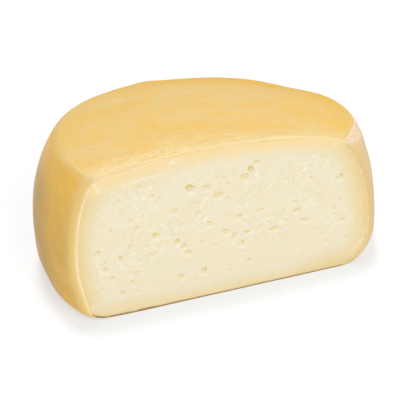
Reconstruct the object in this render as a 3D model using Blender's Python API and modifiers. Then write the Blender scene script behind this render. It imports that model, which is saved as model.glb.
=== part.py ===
"""Cut wheel of semi-soft cheese, as one closed solid.

The wheel is turned from a profile (crowned top, soft crease, rounded shoulder,
upright belly, small flat foot), made a little uneven, and cut upright by one
knife stroke. The cut looks towards -Y, its edges curl slightly, and the larger
eyes of the paste are hollows in it. Metres, +Z up, standing on Z = 0.
"""

import math
import random

import bmesh
import bpy
from mathutils import Matrix, Vector

MM = 0.001
NAME = "cheese"

# ---- Driving dimensions of the wheel ------------------------------------------
BELLY_RADIUS = 100.0 * MM
HEIGHT = 88.8 * MM           # foot to the middle of the crown
CREASE_RADIUS = 85.2 * MM    # where the top surface turns over into the side
CROWN_DROP = 9.2 * MM        # from the middle of the crown down to the crease
CROWN_POWER = 2.5            # above 2 the middle of the crown is flatter
BELLY_HEIGHT = 21.8 * MM     # height of the widest level
SHOULDER_POWER = 2.8         # how late the side leaves the upright going up
RIM_RADIUS = 88.7 * MM       # where the side meets the underside
RIM_HEIGHT = 1.8 * MM        # the rim of the underside stands clear of the table
HAUNCH_POWER = 3.6           # how late the side leaves the upright going down
FOOT_RADIUS = 44.0 * MM      # the flat spot that the cheese stands on
FOOT_POWER = 1.3
CREASE_SOFTNESS = 3.5 * MM   # the crease is rounded over this length each way

# ---- How the wheel departs from a true round ----------------------------------
OVAL = 0.020                 # two-sided share of the radius
OVAL_TURN = math.radians(36.0)
TRIANGLE = 0.015             # three-sided share of the radius
TOP_SLOPE_X = -0.040         # the top falls towards +X
TOP_SLOPE_Y = -0.022         # and towards the back
TOP_SHIFT = 1.8 * MM         # the top sits this far towards +X
CORNER_SPREAD = math.radians(16.0)
LEFT_CORNER = math.radians(212.0)   # where the knife passed out of the rind
RIGHT_CORNER = math.radians(-32.0)
LEFT_CREASE_PUSH = 3.7 * MM         # outward at the crease near the left corner
RIGHT_CREASE_PUSH = -3.9 * MM
LEFT_SIDE_PUSH = 2.0 * MM           # outward all the way down near the corner
RIGHT_SIDE_PUSH = -4.0 * MM

# ---- The cut ------------------------------------------------------------------
AXIS_BEHIND_CUT = 45.4 * MM  # the wheel's middle lies behind the knife
CUT_LEAN = 0.017             # the cut leans back by this run over rise
CURL_LEFT = 4.2 * MM         # the rind rolls in beside the cut, on the -X side
CURL_RIGHT = 4.9 * MM        # and on the +X side
CURL_TOP = 1.8 * MM          # the top edge is rounded less
CURL_ROWS = 5

# ---- Resolution ---------------------------------------------------------------
TURN_STEPS = 84
CROWN_STEPS = 9
SHOULDER_STEPS = 11
HAUNCH_STEPS = 9
FOOT_STEPS = 3
CREASE_STEPS = 4
MERGE = 0.00001

# ---- Eyes in the cut: across from the wheel's middle, up from the table, width,
# height (all in millimetres) and turn in degrees, anticlockwise seen from -Y ----
EYES = [
    (-77.5, 40.4, 3.2, 2.2, 0), (-73.7, 29.8, 3.2, 1.9, 5),
    (-70.5, 23.9, 2.6, 1.9, 0), (-65.3, 13.9, 2.6, 1.8, 0),
    (-65.2, 34.3, 3.8, 2.0, 0), (-60.2, 19.1, 2.4, 2.0, 10),
    (-58.6, 55.3, 3.2, 1.6, 0), (-57.2, 24.1, 3.4, 1.2, 15),
    (-55.2, 50.5, 3.2, 1.9, 0), (-48.0, 33.1, 4.4, 1.4, 20),
    (-45.0, 43.7, 3.6, 2.1, 15), (-33.8, 55.8, 3.8, 1.6, 0),
    (-33.7, 37.6, 3.6, 2.0, 15), (-32.5, 16.3, 3.4, 2.2, 15),
    (-30.0, 34.2, 3.2, 1.7, 10), (-27.5, 30.2, 3.6, 2.1, 0),
    (-24.6, 67.6, 5.0, 2.6, 5), (-19.0, 16.9, 3.4, 2.2, 0),
    (-15.0, 65.8, 3.6, 1.6, 0), (-14.7, 44.4, 4.2, 1.8, -5),
    (-11.7, 31.0, 3.4, 1.2, 0), (-8.6, 60.5, 4.6, 2.0, 12),
    (-5.2, 37.7, 4.2, 1.9, 10), (-3.6, 56.9, 3.4, 1.4, 10),
    (-0.7, 34.3, 2.6, 1.7, 20), (2.5, 44.8, 3.8, 1.9, 0),
    (3.4, 28.8, 3.4, 2.1, 0), (6.3, 68.1, 3.8, 3.2, 20),
    (7.0, 34.4, 4.2, 1.4, 0), (7.3, 17.1, 3.8, 1.4, 0),
    (10.0, 71.3, 3.2, 3.2, 40), (13.3, 74.8, 3.8, 1.8, 0),
    (14.8, 45.9, 4.4, 1.2, 0), (19.0, 41.8, 4.2, 1.2, 0),
    (23.2, 33.2, 6.0, 1.4, 0), (37.0, 41.4, 5.2, 1.4, -5),
    (41.5, 34.5, 5.6, 1.4, -8), (45.0, 59.3, 3.2, 1.4, 0),
    (63.0, 56.9, 3.8, 2.0, 0), (64.0, 29.8, 3.4, 1.2, 0),
]
EYE_DEPTH = 0.45             # depth of an eye as a share of its mean width
EYE_UNEVENNESS = 0.10
EYE_SEED = 7


def clear_scene():
    for item in list(bpy.data.objects):
        bpy.data.objects.remove(item, do_unlink=True)


def make_collection(name):
    group = bpy.data.collections.new(name)
    bpy.context.scene.collection.children.link(group)
    return group


def make_material(name, colour, roughness):
    material = bpy.data.materials.new(name)
    material.use_nodes = True
    shader = material.node_tree.nodes["Principled BSDF"]
    shader.inputs["Base Color"].default_value = (*colour, 1.0)
    shader.inputs["Roughness"].default_value = roughness
    shader.inputs["Metallic"].default_value = 0.0
    return material


def steps(count, first=0):
    """Even shares from first/count up to 1."""
    return [i / count for i in range(first, count + 1)]


def crown_points():
    return [
        (CREASE_RADIUS * t, HEIGHT - CROWN_DROP * t ** CROWN_POWER)
        for t in steps(CROWN_STEPS)
    ]


def shoulder_points():
    crease = HEIGHT - CROWN_DROP
    swell = BELLY_RADIUS - CREASE_RADIUS
    return [
        (BELLY_RADIUS - swell * (1 - u) ** SHOULDER_POWER,
         crease + (BELLY_HEIGHT - crease) * u)
        for u in steps(SHOULDER_STEPS, 1)
    ]


def haunch_points():
    swell = BELLY_RADIUS - RIM_RADIUS
    points = []
    for s in steps(HAUNCH_STEPS, 1):
        w = math.sin(s * math.pi / 2)
        points.append((BELLY_RADIUS - swell * w ** HAUNCH_POWER,
                       BELLY_HEIGHT + (RIM_HEIGHT - BELLY_HEIGHT) * w))
    return points


def foot_points():
    """From the rim inwards to the flat spot, and across it to the middle."""
    points = []
    for s in steps(FOOT_STEPS, 1):
        radius = RIM_RADIUS + (FOOT_RADIUS - RIM_RADIUS) * s
        points.append((radius, RIM_HEIGHT * (1 - s) ** FOOT_POWER))
    points.append((0.0, 0.0))
    return points


def soften_crease(points, corner):
    """Replace the kink at the crease by a short curve."""
    def near(point):
        return math.dist(point, corner) < CREASE_SOFTNESS * 1.2

    before = [p for p in points[:points.index(corner)] if not near(p)]
    after = [p for p in points[points.index(corner) + 1:] if not near(p)]
    here = Vector(corner)
    start = here + (Vector(before[-1]) - here).normalized() * CREASE_SOFTNESS
    end = here + (Vector(after[0]) - here).normalized() * CREASE_SOFTNESS
    curve = []
    for t in steps(CREASE_STEPS):
        curve.append(tuple(start.lerp(here, t).lerp(here.lerp(end, t), t)))
    return before + curve + after


def profile():
    """The wheel's outline from the crown, down the side, to the foot's middle."""
    points = crown_points() + shoulder_points() + haunch_points() + foot_points()
    return soften_crease(points, crown_points()[-1])


def turned_wheel():
    points = profile()
    mesh = bpy.data.meshes.new(NAME)
    edges = [(i, i + 1) for i in range(len(points) - 1)]
    mesh.from_pydata([(r, 0.0, z) for r, z in points], edges, [])
    wheel = bpy.data.objects.new(NAME, mesh)
    bpy.context.scene.collection.objects.link(wheel)
    turn = wheel.modifiers.new("turn", "SCREW")
    turn.axis = "Z"
    turn.angle = math.tau
    turn.steps = TURN_STEPS
    turn.render_steps = TURN_STEPS
    turn.use_merge_vertices = True
    turn.merge_threshold = MERGE
    return apply_modifiers(wheel)


def apply_modifiers(item):
    graph = bpy.context.evaluated_depsgraph_get()
    finished = bpy.data.meshes.new_from_object(item.evaluated_get(graph))
    item.modifiers.clear()
    item.data = finished
    return item


def plan_factor(angle):
    """How far the outline seen from above stands out from a true circle."""
    oval = OVAL * math.cos(2 * (angle - OVAL_TURN))
    return 1 + oval + TRIANGLE * math.cos(3 * angle)


def nearness(angle, corner):
    """1 at the corner, fading to 0 round the wheel on both sides of it."""
    apart = math.remainder(angle - corner, math.tau)
    return math.exp(-0.5 * (apart / CORNER_SPREAD) ** 2)


def top_share(radius, z):
    """How far a point of the true wheel follows the crease, from 0 to 1."""
    if z < BELLY_HEIGHT:
        return 0.0
    if z > HEIGHT - CROWN_DROP:
        return radius / CREASE_RADIUS
    return (BELLY_RADIUS - radius) / (BELLY_RADIUS - CREASE_RADIUS)


def make_uneven(mesh):
    """Move each point of the true wheel to where the real one has it."""
    for vertex in mesh.vertices:
        x, y, z = vertex.co
        radius = math.hypot(x, y)
        angle = math.atan2(y, x)
        left = nearness(angle, LEFT_CORNER)
        right = nearness(angle, RIGHT_CORNER)
        crease_push = (TOP_SHIFT * math.cos(angle) + LEFT_CREASE_PUSH * left
                       + RIGHT_CREASE_PUSH * right)
        side_push = LEFT_SIDE_PUSH * left + RIGHT_SIDE_PUSH * right
        outward = (radius + crease_push * top_share(radius, z)) * plan_factor(angle)
        outward += side_push * (radius / BELLY_RADIUS) ** 3
        x = outward * math.cos(angle)
        y = outward * math.sin(angle)
        z += z / HEIGHT * (TOP_SLOPE_X * x + TOP_SLOPE_Y * y)
        vertex.co = (x, y + AXIS_BEHIND_CUT, z)


def behind_cut(point):
    """Distance from the leaning plane of the cut, measured along Y."""
    return point[1] - CUT_LEAN * (point[2] - HEIGHT / 2)


def cut_plane(depth):
    """A point and the normal of the plane that lies depth behind the cut."""
    return Vector((0.0, depth, HEIGHT / 2)), Vector((0.0, 1.0, -CUT_LEAN))


def cut_upright(body):
    """Cut the front away, with rows of edges behind the cut for its curl."""
    model = bmesh.new()
    model.from_mesh(body.data)
    deepest = max(CURL_LEFT, CURL_RIGHT)
    for row in range(CURL_ROWS):
        depth = deepest * (1 - math.sin(row / CURL_ROWS * math.pi / 2))
        point, normal = cut_plane(depth)
        bmesh.ops.bisect_plane(
            model, geom=model.verts[:] + model.edges[:] + model.faces[:],
            dist=MERGE, plane_co=point, plane_no=normal)
    point, normal = cut_plane(0.0)
    sliced = bmesh.ops.bisect_plane(
        model, geom=model.verts[:] + model.edges[:] + model.faces[:],
        dist=MERGE, plane_co=point, plane_no=normal, clear_inner=True)
    rim = [g for g in sliced["geom_cut"] if isinstance(g, bmesh.types.BMEdge)]
    for face in bmesh.ops.contextual_create(model, geom=rim)["faces"]:
        face.material_index = 1
    bmesh.ops.recalc_face_normals(model, faces=model.faces[:])
    model.to_mesh(body.data)
    model.free()


def curl_share(depth, reach):
    """Quarter-round share, from 0 at reach behind the cut to 1 at the cut."""
    q = min(max(1 - depth / reach, 0.0), 1.0)
    return 1 - math.sqrt(1 - q * q)


def curl_edges(mesh):
    """Roll the rind in beside the cut, and round the top edge a little."""
    crease = HEIGHT - CROWN_DROP
    for vertex in mesh.vertices:
        x, y, z = vertex.co
        depth = behind_cut(vertex.co)
        reach = CURL_LEFT if x < 0 else CURL_RIGHT
        wide = min(abs(x) / BELLY_RADIUS, 1.0) ** 2
        x -= math.copysign(reach * curl_share(depth, reach) * wide, x)
        high = min(max((z - crease) / CROWN_DROP, 0.0), 1.0)
        z -= CURL_TOP * curl_share(depth, CURL_TOP) * high
        y += CUT_LEAN * (z - vertex.co.z)
        vertex.co = (x, y, z)


def stand_centred(body):
    """Put the middle of the body's box over the origin, its foot at Z = 0."""
    corners = [vertex.co for vertex in body.data.vertices]
    low = [min(c[i] for c in corners) for i in range(3)]
    high = [max(c[i] for c in corners) for i in range(3)]
    body.location = (-(low[0] + high[0]) / 2, -(low[1] + high[1]) / 2, -low[2])


def eye_cutter(index, eye, body, group, material, rng):
    """A lumpy squashed ball whose middle lies on the cut."""
    across, up, width, height, turn = eye
    size = Vector((width, EYE_DEPTH * (width + height), height)) * MM / 2
    model = bmesh.new()
    bmesh.ops.create_icosphere(model, subdivisions=2, radius=1.0)
    for vertex in model.verts:
        vertex.co *= 1 + rng.uniform(-EYE_UNEVENNESS, EYE_UNEVENNESS)
    bmesh.ops.transform(
        model, verts=model.verts[:],
        matrix=Matrix.Rotation(-math.radians(turn), 4, "Y") @ Matrix.Diagonal((*size, 1.0)))
    mesh = bpy.data.meshes.new(f"eye_{index:02d}")
    model.to_mesh(mesh)
    model.free()
    mesh.materials.append(material)
    cutter = bpy.data.objects.new(mesh.name, mesh)
    lean = CUT_LEAN * (up * MM - HEIGHT / 2)
    cutter.location = body.location + Vector((across * MM, lean, up * MM))
    cutter.hide_render = True
    cutter.display_type = "WIRE"
    group.objects.link(cutter)


def open_eyes(body, paste):
    cutters = make_collection("eye_cutters")
    rng = random.Random(EYE_SEED)
    for index, eye in enumerate(EYES):
        eye_cutter(index, eye, body, cutters, paste, rng)
    hollow = body.modifiers.new("eyes", "BOOLEAN")
    hollow.operation = "DIFFERENCE"
    hollow.operand_type = "COLLECTION"
    hollow.collection = cutters
    hollow.solver = "EXACT"
    hollow.material_mode = "TRANSFER"


def main():
    clear_scene()
    group = make_collection("cut_cheese")
    rind = make_material("rind", (0.82, 0.57, 0.20), 0.42)
    paste = make_material("paste", (0.88, 0.80, 0.58), 0.60)
    body = turned_wheel()
    make_uneven(body.data)
    body.data.materials.append(rind)
    body.data.materials.append(paste)
    cut_upright(body)
    curl_edges(body.data)
    stand_centred(body)
    body.data.shade_smooth()
    body.data.set_sharp_from_angle(angle=math.radians(50.0))
    bpy.context.scene.collection.objects.unlink(body)
    group.objects.link(body)
    open_eyes(body, paste)


main()
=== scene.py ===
import math

import bpy
import numpy as np
from mathutils import Matrix, Vector, noise
from mathutils.geometry import delaunay_2d_cdt
from mathutils.kdtree import KDTree


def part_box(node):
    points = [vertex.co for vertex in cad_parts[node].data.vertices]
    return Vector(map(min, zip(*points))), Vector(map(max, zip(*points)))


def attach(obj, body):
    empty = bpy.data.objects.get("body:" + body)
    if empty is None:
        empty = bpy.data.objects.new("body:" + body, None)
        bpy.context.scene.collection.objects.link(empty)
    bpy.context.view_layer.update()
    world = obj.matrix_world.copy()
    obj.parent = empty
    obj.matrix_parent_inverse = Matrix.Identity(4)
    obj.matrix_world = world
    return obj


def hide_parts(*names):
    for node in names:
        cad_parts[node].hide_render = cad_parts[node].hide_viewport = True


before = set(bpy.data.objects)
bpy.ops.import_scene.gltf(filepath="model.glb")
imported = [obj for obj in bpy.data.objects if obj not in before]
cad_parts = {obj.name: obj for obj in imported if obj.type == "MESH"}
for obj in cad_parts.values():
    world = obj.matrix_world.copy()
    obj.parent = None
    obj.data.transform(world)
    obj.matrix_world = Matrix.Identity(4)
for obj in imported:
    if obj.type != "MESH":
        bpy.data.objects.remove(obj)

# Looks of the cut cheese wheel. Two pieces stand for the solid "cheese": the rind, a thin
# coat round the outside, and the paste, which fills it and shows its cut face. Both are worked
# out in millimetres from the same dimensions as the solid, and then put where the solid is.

MM = 0.001
TAU = math.tau
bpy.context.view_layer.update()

# ---- The wheel: the solid's own driving dimensions, in millimetres ----
BELLY_RADIUS = 100.0
HEIGHT = 88.8
CREASE_RADIUS = 85.2
CROWN_DROP = 9.2
CROWN_POWER = 2.5
BELLY_HEIGHT = 21.8
SHOULDER_POWER = 2.8
RIM_RADIUS = 88.7
RIM_HEIGHT = 1.8
HAUNCH_POWER = 3.6
FOOT_RADIUS = 44.0
FOOT_POWER = 1.3
CREASE_SOFTNESS = 3.5
RIM_SOFTNESS = 5.0
CREASE_HEIGHT = HEIGHT - CROWN_DROP

OVAL = 0.020
OVAL_TURN = math.radians(36.0)
TRIANGLE = 0.015
TOP_SLOPE_X = -0.040
TOP_SLOPE_Y = -0.022
TOP_SHIFT = 1.8
CORNER_SPREAD = math.radians(16.0)
LEFT_CORNER = math.radians(212.0)
RIGHT_CORNER = math.radians(-32.0)
LEFT_CREASE_PUSH = 3.7
RIGHT_CREASE_PUSH = -3.9
LEFT_SIDE_PUSH = 2.0
RIGHT_SIDE_PUSH = -4.0

AXIS_BEHIND_CUT = 45.4
CUT_LEAN = 0.017
CURL_LEFT = 4.2
CURL_RIGHT = 4.9
CURL_TOP = 1.8

# ---- Slight departures from the solid, in millimetres ----
LEFT_TRIM = 0.7              # the sides are drawn in by this much
RIGHT_TRIM = 0.35
CORNER_SPLAY = 3.0           # the left front corner of the foot is pushed out, which makes it sharp
RIGHT_FOOT_DROP = 1.7        # the foot's front edge lies closer to the table on both sides
LEFT_FOOT_DROP = 1.0
# Each of these is an amount, the height of its middle, and its half width.
LEFT_HAUNCH_TRIM = (2.2, 15, 7)      # above the splayed corner the haunch is drawn in
RIGHT_HAUNCH_TRIM = (1.0, 9, 6)      # and so it is right beside the cut's right edge
RIGHT_SWELL = (0.8, 16, 14)          # the right side's lower part stands out
RIGHT_WAIST = (0.8, 52, 4)           # a slight waist under the right shoulder's bulge
# Each of these is an amount, a turn round the wheel, and a half width, both in degrees.
SHOULDER_BULGE = (1.8, -16, 9)       # the right shoulder stands out
RIM_DIP = (1.5, 32, 9)               # the rim of the top lies lower
RIM_RISE = (0.8, 94, 5)              # and higher

# ---- The two pieces' own dimensions, in millimetres ----
RIND_THICKNESS = 0.5
PASTE_CLEARANCE = 0.7        # the paste's hidden skin lies this far inside the rind
PASTE_RECESS = 0.15          # the cut face lies this far behind the rind's edge
PASTE_TUCK = 0.25            # and reaches this far under the rind
BURR_HEIGHT = 0.16           # the knife left the rind's edge standing up a little
BURR_ROWS = (0.07, 0.22, 0.50, 0.9)   # rows of points behind the knife's line keep it even

# ---- Relief, in millimetres ----
CRINKLE_RELIEF = 0.23
PATCH_RELIEF = 0.22
RIB_RELIEF = 0.09
SWELL_RELIEF = (0.28, 0.10)  # broad and narrower swells of the rind
FACE_SWELLS = (0.22, 0.12)   # and of the cut face
DRAG_RELIEF = 0.36           # what the knife dragged along
GRAIN_RELIEF = 0.14
KNIFE_RIDGE_RELIEF = 0.42
FILM_EDGE_RELIEF = 0.20
TORN_RELIEF = 0.50
EYE_LIP_RELIEF = 0.16

# ---- Mesh spacing, in millimetres ----
OUTLINE_STEP = 0.5
EDGE_STEP = 0.5              # along the knife's line
CLOSE_SKIN = 0.5             # beside the cut and on the rough patch
FINE_SKIN = 0.75             # near the cut
PLAIN_SKIN = 1.65            # elsewhere
FOOT_SKIN = 3.0              # underneath
HIDDEN_SKIN = 4.0            # the paste's skin, inside the rind
CLOSE_REACH = 4.0            # how far behind the cut the skin is close
FINE_TOP_REACH = 20.0        # and fine, on the top
FINE_SIDE_REACH = 6.0
FACE_STEP = 0.56             # the cut face
EYE_STEP = 0.28              # the cut face near an eye
FOOT_POINTS = 96             # round the flat of the foot

# ---- Eyes in the cut face ----
# Each is a place across from the wheel's middle and up from the table, a width and a height
# (millimetres), a turn (degrees, anticlockwise seen from the front), and how plainly it
# shows, from 0 to 1.
EYES = [
    (-77.5, 40.4, 3.2, 2.2, 0, 0.6), (-73.7, 29.8, 3.2, 1.9, 5, 0.55),
    (-70.5, 23.9, 2.6, 1.9, 0, 0.5), (-65.3, 13.9, 2.6, 1.8, 0, 0.8),
    (-65.2, 34.3, 3.8, 2.0, 0, 0.4), (-60.2, 19.1, 2.4, 2.0, 10, 0.55),
    (-58.6, 55.3, 3.2, 1.6, 0, 0.3), (-57.2, 24.1, 3.4, 1.2, 15, 0.35),
    (-55.2, 50.5, 3.2, 1.9, 0, 0.45), (-48.0, 33.1, 4.4, 1.4, 20, 0.4),
    (-45.0, 43.7, 3.6, 2.1, 15, 1.0), (-33.8, 55.8, 3.8, 1.6, 0, 0.5),
    (-33.7, 37.6, 3.6, 2.0, 15, 1.0), (-32.5, 16.3, 3.4, 2.2, 15, 0.65),
    (-30.0, 34.2, 3.2, 1.7, 10, 0.9), (-27.5, 30.2, 3.6, 2.1, 0, 0.8),
    (-24.6, 67.6, 5.0, 2.6, 5, 1.0), (-19.0, 16.9, 3.4, 2.2, 0, 0.6),
    (-15.0, 65.8, 3.6, 1.6, 0, 0.6), (-14.7, 44.4, 4.2, 1.8, -5, 0.75),
    (-11.7, 31.0, 3.4, 1.2, 0, 0.45), (-8.6, 60.5, 4.6, 2.0, 12, 0.85),
    (-5.2, 37.7, 4.2, 1.9, 10, 0.7), (-3.6, 56.9, 3.4, 1.4, 10, 0.4),
    (-0.7, 34.3, 2.6, 1.7, 20, 0.6), (2.5, 44.8, 3.8, 1.9, 0, 0.75),
    (3.4, 28.8, 3.4, 2.1, 0, 0.6), (6.3, 68.1, 3.8, 3.2, 20, 0.6),
    (7.0, 34.4, 4.2, 1.4, 0, 0.75), (7.3, 17.1, 3.8, 1.4, 0, 0.45),
    (10.0, 71.3, 3.2, 3.2, 40, 0.9), (13.3, 74.8, 3.8, 1.8, 0, 0.6),
    (14.8, 45.9, 4.4, 1.2, 0, 0.35), (19.0, 41.8, 4.2, 1.2, 0, 0.3),
    (23.2, 33.2, 6.0, 1.4, 0, 0.75), (37.0, 41.4, 5.2, 1.4, -5, 0.55),
    (41.5, 34.5, 5.6, 1.4, -8, 0.6), (45.0, 59.3, 3.2, 1.4, 0, 0.4),
    (63.0, 56.9, 3.8, 2.0, 0, 0.95), (64.0, 29.8, 3.4, 1.2, 0, 0.4),
    # From here on they are smaller, and the solid leaves them out.
    (-69.2, 51.8, 1.6, 1.6, 0, 0.6), (-50.2, 38.5, 2.6, 1.2, 0, 0.4), (-52.5, 73.6, 3.2, 1.0, 8, 0.35),
    (-45.8, 66.9, 2.4, 1.2, 15, 0.45), (-64.0, 67.6, 2.0, 1.4, 0, 0.4), (-58.5, 68.1, 1.6, 1.2, 0, 0.4),
    (-77.0, 18.6, 2.0, 1.0, 10, 0.5), (-75.2, 16.0, 1.0, 0.8, 0, 0.4), (-79.3, 23.1, 1.2, 0.9, 0, 0.4),
    (-57.0, 12.7, 2.2, 0.9, 0, 0.35), (-74.5, 33.1, 2.6, 0.8, 0, 0.3), (-65.8, 26.8, 1.0, 0.9, 0, 0.35),
    (-59.0, 43.5, 1.4, 0.9, 20, 0.25), (-59.0, 41.0, 1.6, 1.4, 20, 0.4), (-57.0, 48.1, 1.6, 0.9, 30, 0.2),
    (-67.5, 56.3, 1.0, 0.8, 0, 0.3), (-42.5, 64.6, 3.0, 0.8, 15, 0.2), (-25.0, 13.0, 2.6, 1.2, 0, 0.5),
    (6.0, 41.3, 2.0, 1.4, 0, 0.4), (3.0, 23.2, 3.0, 1.1, -8, 0.3), (-18.8, 34.3, 4.0, 1.0, 18, 0.3),
    (-18.5, 28.2, 2.2, 1.0, 15, 0.25), (-29.3, 23.7, 2.0, 1.0, 0, 0.3), (-4.3, 13.2, 2.4, 1.2, 10, 0.4),
    (29.7, 36.6, 3.0, 1.0, -8, 0.35), (31.0, 61.3, 3.0, 1.2, -10, 0.4), (-3.2, 65.5, 1.6, 1.2, 0, 0.4),
    (-9.2, 70.1, 1.0, 0.8, 0, 0.4), (-5.7, 69.3, 2.0, 0.8, 0, 0.25), (-20.5, 51.8, 3.0, 0.8, 10, 0.35),
    (8.3, 56.5, 0.9, 0.9, 0, 0.45), (-20.6, 57.6, 0.9, 0.8, 0, 0.4), (-4.0, 47.0, 4.0, 0.8, 10, 0.3),
    (3.2, 37.6, 0.8, 0.8, 0, 0.4), (59.7, 45.3, 1.6, 0.8, 0, 0.55), (63.0, 42.2, 2.6, 0.9, 0, 0.45),
    (59.0, 38.6, 2.4, 1.8, 0, 0.15), (60.3, 34.2, 3.0, 0.9, 0, 0.3), (48.5, 27.2, 2.6, 1.0, 0, 0.4),
    (52.5, 23.1, 2.2, 0.8, 0, 0.25), (55.0, 18.1, 2.6, 0.9, -10, 0.55), (67.0, 17.6, 2.2, 1.0, -20, 0.35),
    (40.0, 12.0, 1.6, 0.7, 0, 0.4), (56.3, 60.8, 1.4, 0.7, 0, 0.3), (45.7, 66.6, 0.9, 1.4, 0, 0.35),
    (35.0, 47.0, 5.0, 0.7, 0, 0.3), (51.0, 71.1, 3.0, 0.6, -10, 0.25), (64.5, 20.4, 2.0, 0.6, 0, 0.2),
    (56.5, 15.3, 2.0, 0.8, -15, 0.3),
]
EYE_DEPTH = 0.36             # depth of an eye as a share of its height, and a little of its width
EYE_LIFT = 0.25              # an eye's bottom lies higher than its mouth by this share of its depth
EYE_WIDER = 1.06             # its mouth is this much wider than its dark part, whose size is listed
EYE_TALLER = 1.50            # and this much taller
EYE_LOWER = 0.72             # and its middle this much lower, in half heights

# ---- Camera, in the wheel's frame, in millimetres ----
CAMERA_AIM = (-8.45, 30.87, 42.75)
CAMERA_DISTANCE = 688.9
CAMERA_AZIMUTH = math.radians(-19.64)
CAMERA_ELEVATION = math.radians(26.49)
CAMERA_ROLL = math.radians(-2.32)
CAMERA_LENS = 110.95

# ---- Light: place and width in metres, power in watts ----
OVERHEAD = ((0.16, 1.04, 4.90), 1.4, 161.67)
FRONT = ((0.5, -4.0, 2.9), 3.0, 121.4)
LIGHTS_AIM = (0.0, 0.0, 0.04)
SKY_STRENGTH = 0.36
FLOOR_GLOW = 0.60            # makes the pale floor as white as the photo's
FLOOR_WIDTH = 12.0


# ==== small helpers ====
def rise(value, low, high):
    """0 up to low, 1 from high on, and smooth between them."""
    share = np.clip((value - low) / (high - low), 0.0, 1.0)
    return share * share * (3 - 2 * share)


def fall(value, low, high):
    return 1 - rise(value, low, high)


def bell(value, width):
    return np.exp(-0.5 * (value / width) ** 2)


def columns(*parts):
    return np.stack(parts, axis=-1)


def in_space(points):
    """The same points, where flat ones get a third value of 0."""
    return np.pad(points, ((0, 0), (0, 3 - points.shape[1])))


def noise_at(points, size, seed=0):
    """Smooth noise from about -1 to 1, with features about size long."""
    scaled = in_space(points) / np.asarray(size, float) + (13.7 * seed, 7.1 * seed, 3.3 * seed)
    return np.array([noise.noise(p) for p in scaled.tolist()])


def bump(value, shape):
    """A bell with an amount, a middle and a half width."""
    amount, middle, width = shape
    return amount * bell(value - middle, width)


def window(value, low, high, soft):
    """1 between low and high, fading to 0 over soft on both sides."""
    return rise(value, low - soft, low + soft) * fall(value, high - soft, high + soft)


def turn_window(angle, low, high, soft):
    """The same for an angle in radians, with the limits in degrees."""
    return window(np.degrees(angle), low, high, soft)


def circle(turn):
    return columns(np.cos(turn), np.sin(turn))


def lengths_along(points):
    """How far along a line of points each of them lies."""
    return np.concatenate([[0.0], np.cumsum(np.linalg.norm(np.diff(points, axis=0), axis=1))])


def distances(spots, line):
    """How far each spot is from the nearest point of a line."""
    tree = KDTree(len(line))
    for number, point in enumerate(in_space(line).tolist()):
        tree.insert(point, number)
    tree.balance()
    return np.array([tree.find(spot)[2] for spot in in_space(spots).tolist()])


def stroke(spots, line, width):
    """1 on a line of points, fading to 0 over about width beside it."""
    nearest = np.full(len(spots), np.inf)
    for p, q in zip(line, line[1:]):
        p, q = np.array(p), np.array(q)
        way = q - p
        t = np.clip((spots - p) @ way / (way @ way), 0, 1)
        nearest = np.minimum(nearest, np.linalg.norm(spots - p - t[:, None] * way, axis=1))
    return bell(nearest, width)


def triangles_between(flat, loops):
    """Triangles over flat points, with the loops (lists of point numbers) among their edges."""
    edges = [(a, b) for loop in loops for a, b in zip(loop, loop[1:] + loop[:1])]
    found = delaunay_2d_cdt([Vector(p) for p in flat.tolist()], edges, [], 0, 1e-7)
    flat_out, faces = found[0], found[2]
    assert len(flat_out) == len(flat)
    return np.array(faces)


# ==== the wheel's skin ====
def raw_outline():
    """The wheel's outline from the crown, down the side and in to the flat of the foot."""
    t = np.linspace(0, 1, 400)
    crown = columns(CREASE_RADIUS * t, HEIGHT - CROWN_DROP * t ** CROWN_POWER)
    swell = BELLY_RADIUS - CREASE_RADIUS
    shoulder = columns(BELLY_RADIUS - swell * (1 - t) ** SHOULDER_POWER,
                       CREASE_HEIGHT + (BELLY_HEIGHT - CREASE_HEIGHT) * t)
    w = np.sin(t * math.pi / 2)
    haunch = columns(BELLY_RADIUS - (BELLY_RADIUS - RIM_RADIUS) * w ** HAUNCH_POWER,
                     BELLY_HEIGHT + (RIM_HEIGHT - BELLY_HEIGHT) * w)
    foot = columns(RIM_RADIUS + (FOOT_RADIUS - RIM_RADIUS) * t, RIM_HEIGHT * (1 - t) ** FOOT_POWER)
    return np.vstack([crown, shoulder[1:], haunch[1:], foot[1:]])


def evenly(points, step, closed=False, measured=None):
    """Points about step apart along a line, by its own lengths or by those of the line measured."""
    measured = points if measured is None else measured
    if closed:
        points, measured = (np.vstack([line, line[:1]]) for line in (points, measured))
    along = lengths_along(measured)
    count = max(round(along[-1] / step), 3)
    marks = np.linspace(0, along[-1], count + 1)[:count + (0 if closed else 1)]
    return columns(*[np.interp(marks, along, column) for column in points.T])


def softened(points, corner, reach):
    """The outline with the kink at a corner replaced by a short curve."""
    corner = np.array(corner)
    near = np.flatnonzero(np.linalg.norm(points - corner, axis=1) < reach)
    start, end = points[near[0]], points[near[-1]]
    t = np.linspace(0, 1, len(near))[:, None]
    curve = (1 - t) ** 2 * start + 2 * t * (1 - t) * corner + t ** 2 * end
    return np.vstack([points[:near[0]], curve, points[near[-1] + 1:]])


OUTLINE = softened(raw_outline(), (CREASE_RADIUS, CREASE_HEIGHT), CREASE_SOFTNESS)
OUTLINE = evenly(softened(OUTLINE, (RIM_RADIUS, RIM_HEIGHT), RIM_SOFTNESS), OUTLINE_STEP)
LENGTH = lengths_along(OUTLINE)


def map_radii():
    """How far from the middle of the skin's flat map each outline point lies.

    It grows as the skin does over its radius, which keeps small shapes true."""
    middle = (OUTLINE[2:, 0] + OUTLINE[1:-1, 0]) / 2
    growth = np.cumsum(np.diff(LENGTH)[1:] / middle)
    return np.concatenate([[0.0, LENGTH[1]], LENGTH[1] * np.exp(growth)])


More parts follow.
